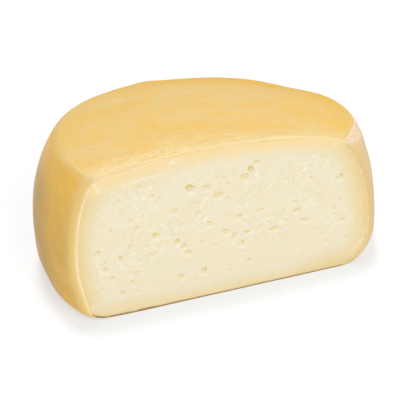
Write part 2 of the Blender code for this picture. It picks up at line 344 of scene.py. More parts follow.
MAP_RADIUS = map_radii()
CREASE_LENGTH = LENGTH[np.argmin(np.linalg.norm(OUTLINE - (CREASE_RADIUS, CREASE_HEIGHT), axis=1))]


def below_crease(flat):
    """How far down the side from the crease points of the flat map lie (negative on the top)."""
    return np.interp(np.hypot(*flat.T), MAP_RADIUS, LENGTH) - CREASE_LENGTH


def turn_of(flat):
    """The angle round the wheel, from -90 degrees (straight out of the cut) to 270, in radians."""
    angle = np.arctan2(flat[:, 1], flat[:, 0])
    return np.remainder(angle + math.pi / 2, TAU) - math.pi / 2


def nearness(angle, corner):
    apart = np.remainder(angle - corner + math.pi, TAU) - math.pi
    return bell(apart, CORNER_SPREAD)


def on_wheel(flat):
    """Where points of the flat map lie on the uneven wheel, before the cut's edges curl."""
    reach = np.hypot(*flat.T)
    angle = np.arctan2(flat[:, 1], flat[:, 0])
    radius = np.interp(reach, MAP_RADIUS, OUTLINE[:, 0])
    z = np.interp(reach, MAP_RADIUS, OUTLINE[:, 1])
    side = (BELLY_RADIUS - radius) / (BELLY_RADIUS - CREASE_RADIUS)
    share = np.where(z > CREASE_HEIGHT, radius / CREASE_RADIUS, side)
    share = np.where(z < BELLY_HEIGHT, 0.0, share)
    left = nearness(angle, LEFT_CORNER)
    right = nearness(angle, RIGHT_CORNER)
    crease_push = TOP_SHIFT * np.cos(angle) + LEFT_CREASE_PUSH * left + RIGHT_CREASE_PUSH * right
    side_push = LEFT_SIDE_PUSH * left + RIGHT_SIDE_PUSH * right
    plan = 1 + OVAL * np.cos(2 * (angle - OVAL_TURN)) + TRIANGLE * np.cos(3 * angle)
    outward = (radius + crease_push * share) * plan + side_push * (radius / BELLY_RADIUS) ** 3
    x = outward * np.cos(angle)
    y = outward * np.sin(angle)
    z = z + z / HEIGHT * (TOP_SLOPE_X * x + TOP_SLOPE_Y * y)
    return columns(x, y + AXIS_BEHIND_CUT, z)


def behind_cut(points):
    return points[:, 1] - CUT_LEAN * (points[:, 2] - HEIGHT / 2)


def curl_share(depth, reach):
    q = np.clip(1 - depth / reach, 0.0, 1.0)
    return 1 - np.sqrt(1 - q * q)


def curled(points):
    """The rind rolled in beside the cut, with its top edge rounded and its front corners shaped."""
    x, y, z = points.T
    depth = behind_cut(points)
    reach = np.where(x < 0, CURL_LEFT, CURL_RIGHT)
    wide = np.minimum(np.abs(x) / BELLY_RADIUS, 1.0) ** 2
    high = np.clip((z - CREASE_HEIGHT) / CROWN_DROP, 0.0, 1.0)
    drop = CURL_TOP * curl_share(depth, CURL_TOP) * high
    trim = np.where(x < 0, LEFT_TRIM, RIGHT_TRIM)
    trim = trim * rise(np.abs(x), 60, 95) * fall(depth, 15, 60)
    inward = reach * curl_share(depth, reach) * wide + trim
    front = fall(depth, 5, 22)
    behind = rise(depth, 5, 22) * fall(depth, 30, 80)
    trimmed = bump(z, LEFT_HAUNCH_TRIM) * (front + 0.50 * behind)
    splayed = CORNER_SPLAY * fall(z, 2, 11) * (front + 0.95 * behind)
    inward += rise(-x, 62, 78) * (trimmed - splayed)
    inward += rise(x, 55, 70) * (bump(z, RIGHT_HAUNCH_TRIM) * fall(depth, 1, 8) - bump(z, RIGHT_SWELL))
    low = RIGHT_FOOT_DROP * rise(x, 15, 60) * front
    low += LEFT_FOOT_DROP * (rise(-x, 30, 60) * front + 1.5 * rise(-x, 60, 75) * behind)
    low = np.minimum(z, low) * fall(z, 3, 12)
    turn = np.degrees(np.arctan2(y - AXIS_BEHIND_CUT, x))
    rim = rise(np.hypot(x, y - AXIS_BEHIND_CUT), 45, 82) * rise(z, 45, 78)
    bulge, bulge_turn, bulge_width = SHOULDER_BULGE
    outward = bulge * rise(z, 57, 67) - bump(z, RIGHT_WAIST)
    inward -= rim * bell(turn - bulge_turn, bulge_width) * outward
    low += rim * (bump(turn, RIM_DIP) - bump(turn, RIM_RISE))
    return columns(x - np.sign(x) * inward, y - CUT_LEAN * drop, z - drop - low)


def knife_line():
    """The knife's closed line on the flat map, evenly spaced along its true length."""
    rays, marches, halvings = 2400, 700, 30
    mid_height = np.interp(-HEIGHT / 2, -OUTLINE[:, 1], MAP_RADIUS)
    turn = np.linspace(0, TAU, rays, endpoint=False)
    way = circle(turn)
    start = np.array([0.0, -mid_height])
    reach = np.linspace(0, MAP_RADIUS[-1], marches)
    spots = start + reach[:, None, None] * way
    depth = behind_cut(on_wheel(spots.reshape(-1, 2))).reshape(marches, rays)
    far = np.argmax(depth > 0, axis=0)
    low, high = reach[far - 1], reach[far]
    for _ in range(halvings):
        middle = (low + high) / 2
        behind = behind_cut(on_wheel(start + middle[:, None] * way)) > 0
        high = np.where(behind, middle, high)
        low = np.where(behind, low, middle)
    flat = start + high[:, None] * way
    return evenly(flat, EDGE_STEP, closed=True, measured=on_wheel(flat))


def scattered(spacing, rng):
    """Map points spread evenly over the whole skin, ring by ring."""
    rings = []
    for mark in np.arange(0.6 * spacing, LENGTH[-1] - 0.6 * spacing, 0.866 * spacing):
        radius = np.interp(mark, LENGTH, OUTLINE[:, 0])
        reach = np.interp(mark, LENGTH, MAP_RADIUS)
        count = max(round(TAU * radius / spacing), 5)
        turn = (np.arange(count) + rng.random() + 0.16 * rng.random(count)) * TAU / count
        rings.append(reach * circle(turn))
    return np.vstack(rings)


def mesh_level(flat, places):
    """Which spacing suits each place of the skin: 0 close, 1 fine, 2 plain, 3 underneath."""
    depth, gap, angle = behind_cut(places), below_crease(flat), turn_of(flat)
    level = np.full(len(flat), 2)
    level[(places[:, 2] < RIM_HEIGHT * 1.02) & (np.hypot(*flat.T) > MAP_RADIUS[-1] / 1.9)] = 3
    level[depth < np.where(gap < 3, FINE_TOP_REACH, FINE_SIDE_REACH)] = 1
    on_patch = (np.abs(gap - 4) < 7) & (angle > math.radians(-38)) & (angle < math.radians(-3))
    level[(depth < CLOSE_REACH) | on_patch] = 0
    return level


def beside_line(line, away):
    """The knife's line on the flat map, moved back over the skin by a true distance."""
    reach = np.hypot(*line.T)
    growth = reach / np.interp(reach, MAP_RADIUS, OUTLINE[:, 0])
    return line + away * growth[:, None] * outward_of(line)


def skin(line, hidden=False):
    """Flat points and triangles of the skin behind the cut. The knife's line comes first."""
    rng = np.random.default_rng(11)
    foot = MAP_RADIUS[-1] * circle(np.linspace(0, TAU, FOOT_POINTS, endpoint=False))
    rows = [beside_line(line, away) for away in BURR_ROWS]
    steps, bare = (CLOSE_SKIN, FINE_SKIN, PLAIN_SKIN, FOOT_SKIN), BURR_ROWS[-1]
    if hidden:
        rows, steps, bare = [], (HIDDEN_SKIN,), 0.0
    edge, kept = on_wheel(line), []
    for number, step in enumerate(steps):
        spots = scattered(step, rng)
        places = on_wheel(spots)
        wanted = behind_cut(places) > 0.05
        if not hidden:
            wanted &= mesh_level(spots, places) == number
        spots, places = spots[wanted], places[wanted]
        kept.append(spots[distances(places, edge) > bare + 0.45 * step])
    flat = np.vstack([line, foot] + rows + kept)
    knife = list(range(len(line)))
    ring = list(range(len(line), len(line) + len(foot)))
    faces = triangles_between(flat, [knife, ring])
    on_line = (faces < len(line)).all(axis=1)
    middle = flat[faces].mean(axis=1)
    in_front = behind_cut(on_wheel(middle)) < 0
    faces = faces[~(on_line & in_front)]
    return flat, faces, ring


def crossed(points, faces):
    """A vector across each triangle, out of the side from which its points run anticlockwise."""
    a, b, c = (points[faces[:, i]] for i in range(3))
    return np.cross(b - a, c - a)


def face_normals(points, faces):
    """Outward unit normals of the points of a triangle mesh."""
    across = crossed(points, faces)
    total = np.zeros_like(points)
    for i in range(3):
        np.add.at(total, faces[:, i], across)
    return total / np.maximum(np.linalg.norm(total, axis=1), 1e-12)[:, None]


def facing_out(points, faces):
    """The same triangles, all turned so that they face out of the wheel."""
    outward = points[faces].mean(axis=1) - (0.0, AXIS_BEHIND_CUT, HEIGHT / 2)
    if np.mean(np.einsum("ij,ij->i", crossed(points, faces), outward)) < 0:
        return faces[:, ::-1]
    return faces


def add(name, data):
    thing = bpy.data.objects.new(name, data)
    bpy.context.scene.collection.objects.link(thing)
    return thing


def make_object(name, points, faces, attributes, smooth_angle):
    mesh = bpy.data.meshes.new(name)
    mesh.from_pydata((points * MM).tolist(), [], [list(map(int, f)) for f in faces])
    for key, values in attributes.items():
        layer = mesh.attributes.new(key, "FLOAT", "POINT")
        layer.data.foreach_set("value", np.asarray(values, np.float32))
    mesh.validate()
    mesh.shade_smooth()
    mesh.set_sharp_from_angle(angle=math.radians(smooth_angle))
    return add(name, mesh)


# ==== the rind ====
def turned(angle):
    """A turn of the plan, so that noise can be drawn out along a slant."""
    c, s = math.cos(angle), math.sin(angle)
    return np.array([[c, -s, 0.0], [s, c, 0.0], [0.0, 0.0, 1.0]])


# Lines on the top, by their places across and their depths behind the cut.
FOLD = [(-50, 0.9), (-36, 1.2), (-27, 1.7)]
# Dark streaks on the top, each a line, a width and a strength; the second is a painted soft shadow.
DARK_STREAKS = [
    ([(-21, 1.6), (-14, 1.5), (-4, 0.9)], 0.50, 0.30),
    ([(20, 4.8), (25, 5.6), (29, 5.9), (34, 5.6)], 0.8, 0.45),
    ([(-24, 7.0), (-16, 6.4), (-6, 6.8)], 0.8, 0.35),
]
BARE_LINE = [(14, 0.0), (26, 2.4), (34, 2.2), (46, 0.5), (62, 0.2)]


def above_crease(points, low, high):
    """0 to 1 between two heights over the crease."""
    return rise(points[:, 2] - CREASE_HEIGHT, low, high)


def ridged(points, size, seed):
    """Noise with sharp crests, from about -1 to 1."""
    return 1 - 2.6 * np.abs(noise_at(points, size, seed))


def crinkles(points, depth):
    """Fine folds of the loosened coat behind the cut, most of them on the left half."""
    x = points[:, 0]
    on_top = above_crease(points, -2, 2)
    reach = 14.0 + 6.0 * window(x, -42, 2, 16)
    zone = window(x, -77, 14, 6) * rise(depth, 0.3, 1.0) * fall(depth, 0.7 * reach, reach)
    far = rise(depth, 4.0, 8.0)
    patches = np.clip(0.55 + 1.3 * noise_at(points, 9, 21), 0.0, 1.0)
    along = ridged(points @ turned(0.10), (14.0, 1.7, 9), 22)
    slanted = ridged(points @ turned(-0.85), (5.0, 2.0, 5), 23)
    choice = 0.8 * rise(noise_at(points, 11, 24), 0.05, 0.35)
    folds = along + (slanted - along) * choice
    return on_top * zone * (0.25 + 0.75 * patches) * (1 - 0.45 * far) * folds


def top_lines(points, depth):
    """Relief, pale share and dark share of the few long lines on the top. The pale share is a painted
    highlight on the bare line's ridge; the dark share is painted shade along the fold, and the dark
    streaks, the second of which is a painted soft shadow.
    """
    spots = columns(points[:, 0], depth)
    on_top = above_crease(points, -3, 0)
    fold = stroke(spots, FOLD, 0.45) * on_top
    dark = 0.40 * fold
    relief = -0.35 * fold + 0.25 * stroke(spots - (0.0, 0.9), FOLD, 0.4) * on_top
    broken = np.clip(0.8 + 0.9 * noise_at(points, (7, 3, 7), 25), 0.2, 1.0)
    for line, width, strength in DARK_STREAKS:
        dark = np.maximum(dark, strength * stroke(spots, line, width) * on_top * broken)
    ridge = stroke(spots, BARE_LINE, 0.30) * on_top
    return relief + 0.16 * ridge, 0.6 * ridge, dark


def bare_strip(points, depth):
    """Where the knife pulled the coat off the top's front edge."""
    across, back = np.array(BARE_LINE).T
    line = np.interp(points[:, 0], across, back, left=-1.0, right=-1.0)
    return above_crease(points, -6, -3) * fall(depth, line - 0.1, line + 0.3) * (line > 0)


def crease_lines(gap, angle):
    """Relief, pale share and dark share of the lines along the crease by the upper corners. The pale
    share is a painted highlight on the crease ridges; the dark share is painted shade in the right groove
    and just below the left ridge.
    """
    left = turn_window(angle, 189, 208, 5)
    right = turn_window(angle, -36, -15, 5)
    left_ridge = left * bell(gap + 1.3, 0.6)
    right_ridge = right * bell(gap + 0.95, 0.42)
    groove = right * bell(gap + 0.1, 0.35)
    relief = 0.30 * left_ridge + 0.20 * right_ridge - 0.10 * groove
    below = 0.12 * left * window(gap, 2.5, 9, 2)
    return relief, np.maximum(0.55 * left_ridge, 0.6 * right_ridge), np.maximum(0.6 * groove, below)


def rough_patch(points, gap, angle):
    """Where the coat on the right shoulder is crinkled and pale, from 0 to 1. Its paleness is partly the
    crinkled coat's own colour and partly a painted reflection.
    """
    turn = np.degrees(angle)
    along = np.maximum(turn + 33.5, 0.0)
    reach = 2.0 + 4.6 * (1 - np.exp(-along / 1.6)) + 0.2 * along + 0.6 * noise_at(points, 3.0, 26)
    reach *= fall(along + 2.5 * noise_at(points, 6.0, 27), 19, 33)
    below = rise(gap, 0.2, 0.9) * fall(gap, reach - 1.0, reach + 0.7)
    return below * rise(turn, -39, -33)


def side_noise(points, angle, around, up, seed):
    """Noise on the wheel's side, with features about around wide and up high."""
    return noise_at(columns(angle * BELLY_RADIUS / around, points[:, 2] / up), 1.0, seed)


def rind_relief(points, depth, gap, angle):
    """How far the rind's swells and faint upright ribs stand out."""
    away = rise(depth, 0.0, 6.0) * rise(points[:, 2], 0.5, 9.0)
    broad = SWELL_RELIEF[0] * noise_at(points, 32, 1) + SWELL_RELIEF[1] * noise_at(points, 11, 2)
    ribs = side_noise(points, angle, 4.5, 45, 4) * rise(gap, 3, 14) * rise(points[:, 2], 4, 14)
    return away * (broad + RIB_RELIEF * ribs)


def rim_warmth(gap, angle):
    """How much deeper the coat's colour is towards the crease, on the top."""
    across, away = np.cos(angle), np.sin(angle)
    far_side = 0.45 + 0.55 * rise(away, -0.5, 0.5)
    far_side *= 1 - 0.9 * rise(-across, -0.1, 0.6)
    far_side *= 1 - 0.5 * rise(across, 0.4, 0.9)
    right = (0.30 + 0.50 * rise(away, -0.25, 0.25)) * rise(across, 0.2, 0.9)
    far = turn_window(angle, 22, 100, 22) * rise(gap, -36, -6)
    beside = np.maximum(far_side, right) * rise(gap, -24, -3)
    return np.maximum(far, beside) * fall(gap, 2, 10)


def painted_side_light(points, gap, angle):
    """Shares of duller tones that stand for light: painted shade round the left side, with a little
    mottle, a painted sheen on the right side, and a grey painted sheen at both silhouettes, streaky on
    the left.
    """
    turn = np.degrees(angle)
    streaks = side_noise(points, angle, 4.2, 36, 14)
    blotches = noise_at(points, 9, 15)
    # painted shade round the left side, which turns from the light
    left = fall(turn - 5 * rise(gap, 35, 60), 178, 196)
    left *= rise(turn, 95, 140) * (0.15 + 0.85 * rise(gap, 6, 24))
    # painted sheen on the right side, seen at a grazing angle
    right = window(turn, -70, 5, 28)
    # grey painted sheen at both silhouettes, streaky on the left
    grazing_sheen = window(turn, 150, 184, 11) * window(gap, 12, 40, 12)
    grazing_sheen = 0.40 * grazing_sheen * (0.45 + 0.55 * rise(streaks, -0.6, 0.8))
    grazing_sheen = np.maximum(grazing_sheen, 0.45 * window(turn, -26, 5, 12))
    below = rise(gap, -1, 6)
    return below * np.clip(left + 0.10 * blotches * (left > 0), 0, 1), below * right, below * grazing_sheen


def burr_strength(points):
    """How clearly the knife left the rind's edge standing: most of all at the sides."""
    x, z = points[:, 0], points[:, 2]
    top = above_crease(points, -4, 1)
    along_top = 0.10 + 0.3 * window(x, 50, 72, 6)
    side = np.where(x < 0, 0.72, 0.40)
    strength = side + (along_top - side) * top
    return strength * rise(z, 3.0, 6.0)


def build_rind(line):
    flat, faces, ring = skin(line)
    wheel = on_wheel(flat)
    points = curled(wheel)
    depth = np.maximum(behind_cut(wheel), 0.0)
    gap = below_crease(flat)
    angle = turn_of(flat)
    faces = facing_out(points, faces)
    normals = face_normals(points, faces)
    upright = face_normals(wheel, faces)[:, 2]
    low, high = points.min(axis=0), points.max(axis=0)
    folds = crinkles(points, depth)
    line_relief, line_pale, line_dark = top_lines(points, depth)
    crease_relief, crease_pale, crease_dark = crease_lines(gap, angle)
    patch_and_sheen = rough_patch(points, gap, angle)
    bare = bare_strip(points, depth)
    left_shade, right, grazing_sheen = painted_side_light(points, gap, angle)
    speckle = noise_at(points, 1.7, 3)
    unbroken = np.where(points[:, 0] < 0, 0.45, 0.9)
    burr = burr_strength(points) * np.clip(0.9 + unbroken * speckle, 0.0, 1.3)
    relief = rind_relief(points, depth, gap, angle) + CRINKLE_RELIEF * folds + line_relief
    relief += (crease_relief + PATCH_RELIEF * noise_at(points, 1.9, 9) * patch_and_sheen) * rise(depth, 0.0, 1.5)
    points = points + relief[:, None] * normals
    points[:, 1] -= BURR_HEIGHT * burr * bell(depth, 0.35)
    normals = face_normals(points, faces)
    inner = points - RIND_THICKNESS * normals
    count, edge = len(points), len(line)
    foot_middle = points[ring].mean(axis=0)
    shell = np.vstack([points, inner, [foot_middle], [foot_middle + (0, 0, RIND_THICKNESS)]])
    quads = []
    for a, b in boundary_pairs(faces, edge):
        quads += [(b, a, a + count), (b, a + count, b + count)]
    for a, b in boundary_pairs(faces, count, edge):
        quads += [(b, a, 2 * count), (a + count, b + count, 2 * count + 1)]
    everything = np.vstack([faces, faces[:, ::-1] + count, np.array(quads)])

    fringe = np.maximum(fall(depth, 0.05, 0.21), 0.4 - 0.4 * rise(depth, 0.20, 0.65))
    facts = {
        "from_cut": depth,
        "upright": upright,
        "burr": np.clip(burr, 0, 1) * fringe,
        "patch_and_sheen": patch_and_sheen,
        "bare": bare,
        # painted highlights on the crease ridges and the bare line's ridge, with the loose coat's paler
        # crinkle crests
        "pale": np.clip(np.maximum(np.maximum(line_pale, crease_pale), 0.9 * folds), 0, 1),
        # painted shade by the fold, in the crease groove and in the crinkles' troughs, with the dark
        # streaks
        "dark": np.clip(np.maximum(line_dark, crease_dark) - 0.5 * np.minimum(folds, 0), 0, 1),
        "warm": rim_warmth(gap, angle),
        # painted shade of the left side, painted sheen of the right side, grey painted sheen at the
        # silhouettes
        "left_shade": left_shade,
        "right": right,
        "grazing_sheen": grazing_sheen,
        "loose": 0.25 + 0.75 * window(points[:, 0], -78, 8, 16),
        # painted shade of the gap under the wheel, on the rind's lowest three millimetres
        "under": fall(points[:, 2], 1.4, 3.0),
    }
    attributes = {key: np.concatenate([values, values, [values[ring[0]]] * 2])
                  for key, values in facts.items()}
    return shell, everything, attributes, low, high


def boundary_pairs(faces, below, at_least=0):
    """The open edges, in their faces' direction, between points at_least <= number < below."""
    edges = np.vstack([faces[:, (0, 1)], faces[:, (1, 2)], faces[:, (2, 0)]])
    there = {tuple(e) for e in edges.tolist()}
    return [(a, b) for a, b in there
            if (b, a) not in there and at_least <= a < below and at_least <= b < below]


# ==== the cut face ====
def in_loop(spots, loop):
    """Which flat spots lie inside a closed loop."""
    inside = np.zeros(len(spots), bool)
    x, z = spots.T
    for (x0, z0), (x1, z1) in zip(loop, np.roll(loop, -1, axis=0)):
        if z0 == z1:
            continue
        crosses = (z0 > z) != (z1 > z)
        inside ^= crosses & (x < (x1 - x0) * (z - z0) / (z1 - z0) + x0)
    return inside


def eye_frame(spots, eye):
    """Places of the spots in an eye's own frame, where its mouth is the unit circle."""
    across, up, width, height, turn, _ = eye
    c, s = math.cos(math.radians(turn)), math.sin(math.radians(turn))
    dx, dz = spots[:, 0] - across, spots[:, 1] - up
    a, b = (c * dx + s * dz) / (width / 2), (c * dz - s * dx) / (height / 2)
    return a / EYE_WIDER, (b + EYE_LOWER) / EYE_TALLER


def eye_hollows(spots):
    """Depth of the eyes, their golden fill, which is a painted glow of light scattered inside them, the
    painted shade under their upper rims, and the pale lips below, white flecks of the paste with a
    painted highlight.
    """
    depth, fill, dark, lips = np.zeros((4, len(spots)))
    for number, eye in enumerate(EYES):
        a, b = eye_frame(spots, eye)
        near = np.flatnonzero((np.abs(a) < 2.4) & (np.abs(b) < 2.8))
        a, b = a[near], b[near]
        shows = eye[5]
        # pale lip below: white flecks of the paste, with a painted highlight where it faces up to the
        # light
        lips[near] = np.maximum(lips[near], bell(np.hypot(a / 0.8, (b + 1.5) / 0.6), 0.75) * shows ** 0.5)
        angle = np.arctan2(b, a)
        ragged = 1 + 0.12 * np.sin(2 * angle + number) + 0.09 * np.sin(3 * angle + 2.1 * number)
        ragged += 0.06 * np.sin(5 * angle + 1.3 * number)
        share = np.clip(1 - (np.hypot(a, b) / ragged) ** 2, 0.0, 1.0)
        gentle = 0.45 + 1.5 * rise(-b, -0.3, 0.6)
        deepest = EYE_DEPTH * (0.2 * eye[2] + 0.8 * eye[3]) * (0.7 + 0.5 * shows)
        depth[near] = np.maximum(depth[near], deepest * share ** gentle)
        # golden fill: painted glow of light scattered in the hollow, strongest in its upper part
        inside = rise(share, 0.0, 0.30) * rise(b, -0.75, 0.35)
        fill[near] = np.maximum(fill[near], inside * shows)
        # painted shade under the upper rim
        below_rim = rise(share, 0.0, 0.12) * rise(b - 0.15 * a, -0.05, 0.75)
        dark[near] = np.maximum(dark[near], below_rim * shows)
    return depth, fill, dark, lips * fall(fill, 0.0, 0.3)


def hex_lattice(step, low, high, rng):
    x, z = np.meshgrid(np.arange(low[0], high[0], step), np.arange(low[1], high[1], 0.866 * step))
    x = x + np.where(np.arange(len(z)) % 2, step / 2, 0.0)[:, None]
    spots = columns(x.ravel(), z.ravel())
    return spots + rng.uniform(-0.12, 0.12, spots.shape) * step


def face_spots(loop):
    """Spots of the cut face inside its outline, close together near the eyes."""
    rng = np.random.default_rng(5)
    low, high = loop.min(axis=0), loop.max(axis=0)
    kept, apart = [], []
    for step, fine in ((FACE_STEP, False), (EYE_STEP, True)):
        spots = hex_lattice(step, low, high, rng)
        close = np.zeros(len(spots), bool)
        for eye in EYES:
            a, b = eye_frame(spots, eye)
            close |= np.hypot(a, b) < 1.25
        spots = spots[close == fine]
        spots = spots[in_loop(spots, loop)]
        distance = distances(spots, loop)
        roomy = distance > 0.5 * step
        kept.append(spots[roomy])
        apart.append(distance[roomy])
    return np.vstack(kept), np.concatenate(apart)


def slanted_noise(spots, slant, length, width, seed):
    """Noise drawn out along a slant, as a dragging knife leaves it."""
    c, s = math.cos(math.radians(slant)), math.sin(math.radians(slant))
    along = c * spots[:, 0] + s * spots[:, 1]
    across = c * spots[:, 1] - s * spots[:, 0]
    return noise_at(columns(along / length, across / width), 1.0, seed)


# Lines on the cut face, by their places across and up.
KNIFE_RIDGE = [(-64, 75.8), (-52, 77.2), (-35, 78.2)]
TORN = [
    ([(-77.9, 81.6), (-77.0, 79.8)], 0.8),
    ([(-76.2, 79.0), (-74.3, 74.9)], 0.8),
    ([(-84.0, 6.0), (-82.0, 9.0)], 0.9),
    ([(70.5, 7.5), (72.3, 10.0), (74.0, 10.4)], 1.2),
    ([(76.0, 12.6), (77.0, 14.2)], 1.0),
    ([(78.4, 18.0), (79.0, 20.5)], 0.7),
    ([(57.5, 74.0), (60.5, 77.0)], 0.4),
    ([(-38.0, 83.2), (-33.0, 83.8), (-29.5, 83.7)], 0.7),
]
FILM_WIDTH = 2.3             # the coat was dragged this far down over the face's upper left edge


def face_relief(spots, edge):
    """Relief of the cut face without the eyes, and the shares of crests, pits, film and roughness. The
    crests' paleness is a painted highlight and the pits' darkness painted shade; the pale share also
    holds the knife ridge, the film's edge and the paste's own white torn flecks.
    """
    x, z = spots.T
    inner = rise(edge, 0.6, 5.0)
    broad = FACE_SWELLS[0] * noise_at(spots, 34, 1) + FACE_SWELLS[1] * noise_at(spots, 12, 2)
    leftward = fall(x, -45, -12)
    steep = slanted_noise(spots, 38, 3.6, 1.2, 3)
    gentle = slanted_noise(spots, 26, 4.2, 1.1, 4)
    drag = leftward * steep + (1 - leftward) * gentle
    rough = rise(z, 12, 32) * rise(edge, 4, 12)
    rough *= np.clip(0.60 + 1.1 * noise_at(spots, 17, 7), 0.10, 1.25)
    grain = noise_at(spots, 1.3, 5)
    lumps = noise_at(spots, 3.4, 6)
    ridge = stroke(spots, KNIFE_RIDGE, 0.30) * window(x, -61, -38, 5)
    ridge *= np.clip(0.75 + 1.0 * lumps, 0.2, 1.0)
    upper = rise(z, 76, 79) * window(x, -80, -37, 3)
    width = FILM_WIDTH * fall(x, -58, -36)
    film = upper * fall(edge, width - 0.25, width + 0.25)
    film_line = upper * bell(edge - width, 0.35) * np.clip(0.6 + 0.9 * lumps, 0.1, 1.0)
    torn = np.zeros(len(spots))
    for line, wide in TORN:
        torn = np.maximum(torn, stroke(spots, line, wide))
    torn *= np.clip(0.40 + 1.3 * noise_at(spots, 1.1, 8), 0, 1) * (1 - 0.45 * rise(x, 60, 70))
    relief = inner * (broad + rough * (DRAG_RELIEF * drag + GRAIN_RELIEF * grain + GRAIN_RELIEF * lumps))
    relief += KNIFE_RIDGE_RELIEF * ridge + FILM_EDGE_RELIEF * film_line
    relief += TORN_RELIEF * torn * rise(edge, 0.2, 1.0)
    # crests of the drag marks: painted highlight; hollows between them: painted shade
    crest_highlight = rough * np.clip(1.1 * drag + 0.5 * grain + 0.3 * lumps - 0.20, 0, 1)
    pit_shade = rough * np.clip(-1.1 * drag - 0.5 * grain - 0.30, 0, 1)
    pale = np.maximum.reduce([1.2 * crest_highlight, 1.2 * ridge, 0.55 * film_line, torn])
    return relief, np.clip(pale, 0, 1), np.clip(1.4 * pit_shade, 0, 1), film, rough


def outward_of(loop):
    """Unit vectors that point out of a closed flat loop that runs either way."""
    way = np.roll(loop, -1, axis=0) - np.roll(loop, 1, axis=0)
    out = columns(way[:, 1], -way[:, 0])
    out /= np.linalg.norm(out, axis=1)[:, None]
    if np.mean(np.einsum("ij,ij->i", out, loop - loop.mean(axis=0))) < 0:
        out = -out
    return out


def band_width(spots):
    """Width of the darker band under the rind, which is widest on the right."""
    x, z = spots.T
    sideways = rise(np.abs(x), 40, 78)
    side_width = np.where(x < 0, 9.0 + 5.0 * rise(z, 58, 74), 13.5)
    upper_width = 8.5 + 5.0 * rise(-x, 20, 58)
    lower_width = 6.5 + 4.0 * rise(x, 20, 58) + 2.5 * rise(-x, 25, 55)
    end_width = np.where(z > HEIGHT / 2, upper_width, lower_width)
    return end_width + (side_width - end_width) * sideways


def gap_shade_line(spots, edge):
    """The dark line along the face's lower edge, which fades on the right: painted shade of the narrow
    gap under that edge.
    """
    x, z = spots.T
    height = 0.66 + 0.26 * rise(-x, 15, 50) + 0.20 * noise_at(spots, (2.6, 9, 9), 12)
    strength = (0.45 + 0.50 * rise(-x, 0, 45)) * fall(x, 20, 74)
    strength *= np.clip(1.0 + 0.7 * noise_at(spots, (1.6, 9, 9), 13), 0.4, 1.1)
    near_foot = fall(z, 3.8, 4.8)
    return strength * near_foot * fall(edge, height - 0.25, height + 0.25)


def build_paste(line):
    wheel_line = on_wheel(line)
    edge_line = curled(wheel_line)
    loop = edge_line[:, (0, 2)]
    tucked = loop + PASTE_TUCK * outward_of(loop)
    tucked[:, 1] = np.maximum(tucked[:, 1], 0.0)
    spots, distance = face_spots(tucked)
    count = len(loop)
    flat = np.vstack([tucked, spots])
    edge = np.concatenate([np.zeros(count), distance])
    faces = triangles_between(flat, [list(range(count))])
    middle = flat[faces].mean(axis=1)
    rim_only = (faces < count).all(axis=1)
    keep = np.ones(len(faces), bool)
    keep[rim_only] = in_loop(middle[rim_only], tucked)
    faces = faces[keep]
    hollow, fill, dark, lips = eye_hollows(flat)
    hollow *= rise(edge, 0.2, 1.5)
    relief, pale, pit_shade, film, rough = face_relief(flat, edge)
    relief += EYE_LIP_RELIEF * lips
    relief[:count] = 0.0
    y = CUT_LEAN * (flat[:, 1] - HEIGHT / 2) + PASTE_RECESS - relief + hollow
    points = columns(flat[:, 0], y, flat[:, 1] + EYE_LIFT * hollow)
    if crossed(points, faces)[:, 1].sum() > 0:
        faces = faces[:, ::-1]

    hidden_flat, hidden_faces, ring = skin(line, hidden=True)
    hidden = curled(on_wheel(hidden_flat))
    hidden_faces = facing_out(hidden, hidden_faces)
    hidden = hidden - PASTE_CLEARANCE * face_normals(hidden, hidden_faces)
    inside = hidden[count:]
    offset = len(points) - count
    shifted = np.where(hidden_faces < count, hidden_faces, hidden_faces + offset)
    points = np.vstack([points, inside, [hidden[ring].mean(axis=0)]])
    last = len(points) - 1
    lid = [(b, a, last) for a, b in boundary_pairs(shifted, last, count + offset)]
    everything = np.vstack([faces, shifted, np.array(lid)])
    out_of_sight = len(points) - len(flat)

    x, z = flat.T
    facts = {
        "edge": edge / band_width(flat),
        # painted glow inside the eyes, and painted shade under their upper rims
        "eye": fill,
        "dark": dark,
        "rough": rough,
        # painted highlight on crests and lips with the torn flecks' own white, and painted shade in the
        # pits
        "pale": np.maximum(pale, 0.7 * lips),
        "pit_shade": pit_shade,
        "film": film,
        # painted shade of the gap under the face's lower edge
        "under": gap_shade_line(flat, edge),
        "upper": rise(z, 68, 79),
        "lower": fall(z, 4, 12) * fall(x, 20, 60),
    }
    attributes = {key: np.pad(values, (0, out_of_sight)) for key, values in facts.items()}
    return points, everything, attributes


